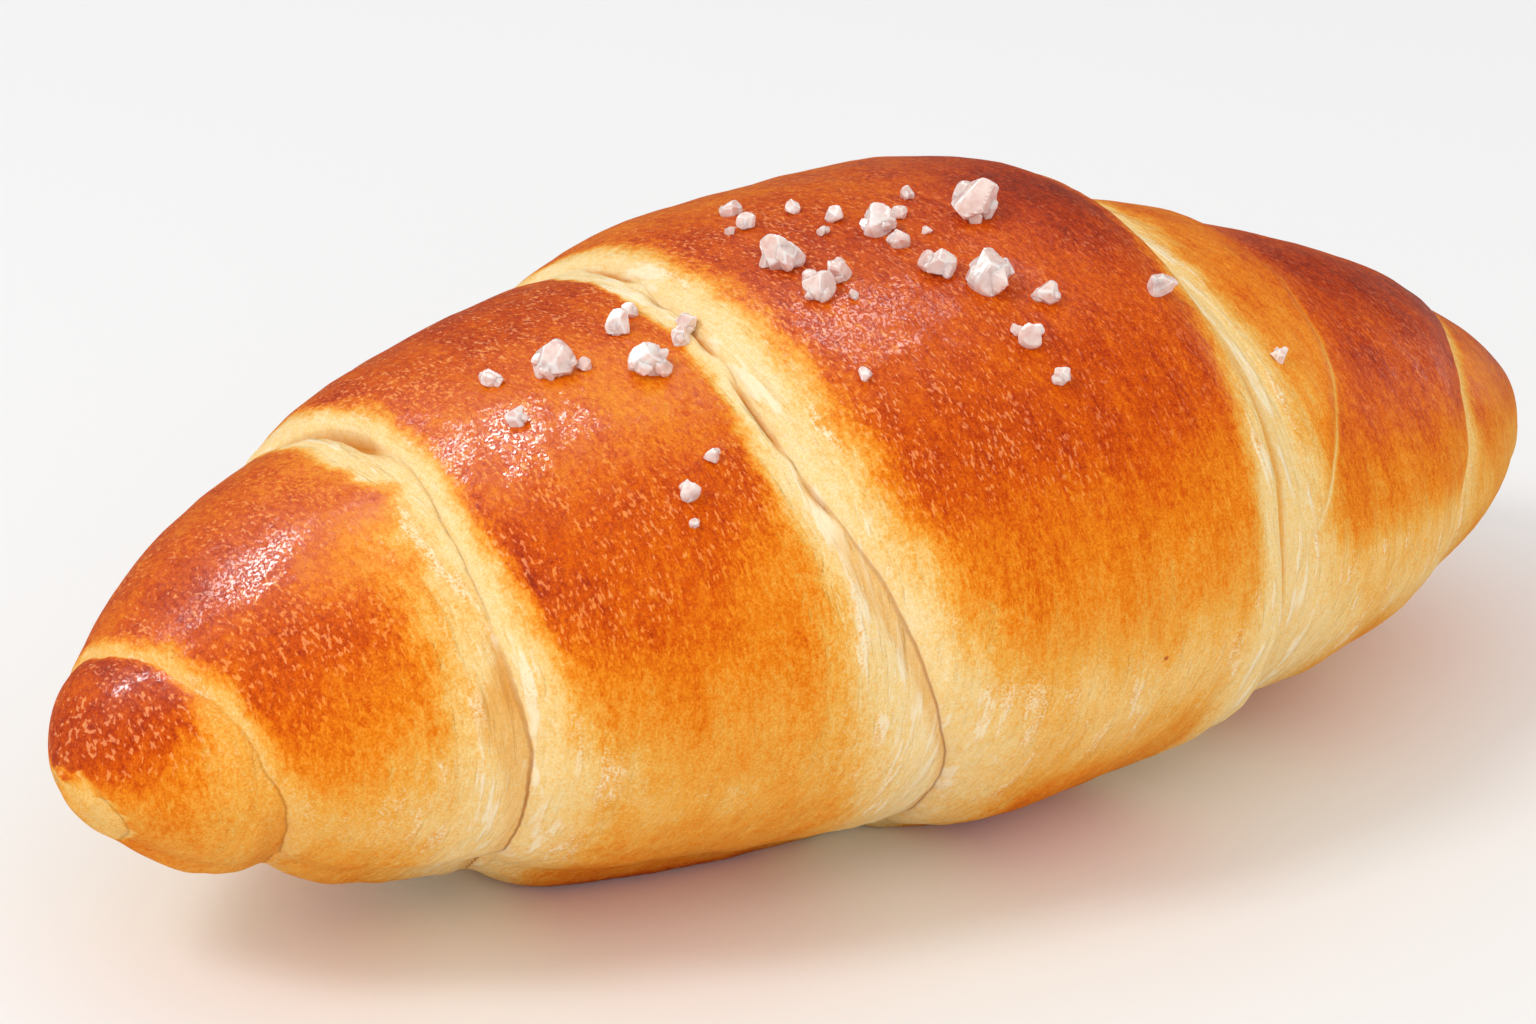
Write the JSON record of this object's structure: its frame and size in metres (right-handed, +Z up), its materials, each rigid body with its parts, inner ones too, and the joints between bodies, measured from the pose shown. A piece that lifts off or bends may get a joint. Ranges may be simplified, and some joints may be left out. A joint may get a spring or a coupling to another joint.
{
  "type": "salt bread roll",
  "caption": "Baked roll of dough wound into overlapping bands that taper to blunt ends, with a glossy brown crust and coarse salt grains on its crown.",
  "frame": {"origin": "centre of the footprint, on the surface the roll rests on", "axes": "+X along the roll, +Z up, the front of the roll faces -Y"},
  "size_m": [0.1466, 0.0722, 0.0521],
  "materials": {
    "crust": "glossy egg-washed crust, brown on the crown and cream on the lower sides",
    "salt": "coarse salt grains, whitish and slightly see-through"
  },
  "bodies": {
    "root": {"roll": "crust"}
  },
  "joints": []
}
